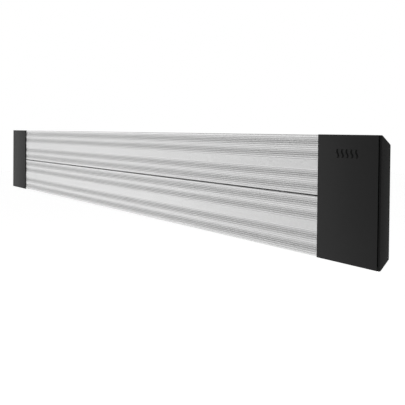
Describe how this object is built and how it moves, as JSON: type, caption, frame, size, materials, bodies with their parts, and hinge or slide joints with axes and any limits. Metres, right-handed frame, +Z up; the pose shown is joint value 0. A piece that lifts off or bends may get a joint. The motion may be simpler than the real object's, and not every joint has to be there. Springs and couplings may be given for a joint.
{
  "type": "radiant strip heater",
  "caption": "Long thin radiant strip heater: ribbed aluminium emitter plates between black end housings, on tilting wall brackets.",
  "frame": {"origin": "centre of the four wall-screw holes, on the plane where the brackets meet the wall", "axes": "+X along the heater to its right end as seen from the front, +Y into the wall, +Z up; the heater faces -Y"},
  "size_m": [1.16, 0.0925, 0.16],
  "materials": {
    "bracket_zinc": "bright zinc-plated steel, folded and welded",
    "lug_zinc": "bright zinc-plated steel, folded",
    "bolt_steel": "zinc-plated fasteners",
    "nylon": "natural nylon",
    "housing_grey": "light grey powder coat on folded sheet steel",
    "anodised": "satin natural-anodised extrusion, ribbed along its length",
    "element_sheath": "dull oxidised stainless sheath",
    "ceramic": "unglazed steatite",
    "brass": "plain brass",
    "spring_steel": "mill-finish stainless strip",
    "shield_foil": "bright rolled foil",
    "mat_fibre": "ceramic-fibre felt",
    "cover_black": "fine-textured matt black powder coat",
    "end_black": "matt black moulded polymer",
    "badge_gloss": "raised gloss black",
    "cutout_black": "phenolic case with tinned tabs",
    "wire_brown": "silicone-sheathed wire",
    "wire_blue": "silicone-sheathed wire",
    "wire_green": "silicone-sheathed wire",
    "gland_black": "moulded polyamide",
    "seal_rubber": "neoprene"
  },
  "bodies": {
    "wall_brackets": {"wall_bracket_left": "bracket_zinc", "wall_bracket_right": "bracket_zinc", "pivot_bolt_left": "bolt_steel", "pivot_bolt_right": "bolt_steel", "pivot_nuts": "bolt_steel", "pivot_washers": "nylon"},
    "heater": {"tilt_lug_left": "lug_zinc", "tilt_lug_right": "lug_zinc", "lug_nuts": "bolt_steel", "lug_washers": "bolt_steel", "rear_housing": "housing_grey", "emitter_plate_upper": "anodised", "emitter_plate_lower": "anodised", "heating_element_upper": "element_sheath", "heating_element_lower": "element_sheath", "element_insulators": "ceramic", "element_terminals": "brass", "element_clips": "spring_steel", "cross_bar_1": "spring_steel", "cross_bar_2": "spring_steel", "cross_bar_3": "spring_steel", "cross_bar_4": "spring_steel", "cross_bar_5": "spring_steel", "bar_bolts": "bolt_steel", "bar_nuts": "bolt_steel", "bar_screws": "bolt_steel", "heat_shield": "shield_foil", "insulation_mat": "mat_fibre", "bulkhead_left": "spring_steel", "bulkhead_right": "spring_steel", "end_cover_left": "cover_black", "end_cover_right": "cover_black", "end_plate_left": "end_black", "end_plate_right": "end_black", "cover_screws": "bolt_steel", "end_plate_screws": "end_black", "badge": "badge_gloss", "terminal_block": "ceramic", "terminal_screws": "brass", "earth_stud": "brass", "thermal_cutout": "cutout_black", "live_wire": "wire_brown", "switched_wire": "wire_brown", "neutral_wire": "wire_blue", "link_wire": "wire_brown", "earth_wire": "wire_green", "gland_body": "gland_black", "gland_locknut": "gland_black", "gland_dome": "gland_black", "gland_seal": "seal_rubber"}
  },
  "joints": [
    {"name": "tilt", "type": "hinge", "parent": "wall_brackets", "child": "heater", "pos_m": [0, -0.04, 0], "axis": [1, 0, 0], "range_deg": [-45, 45]}
  ]
}
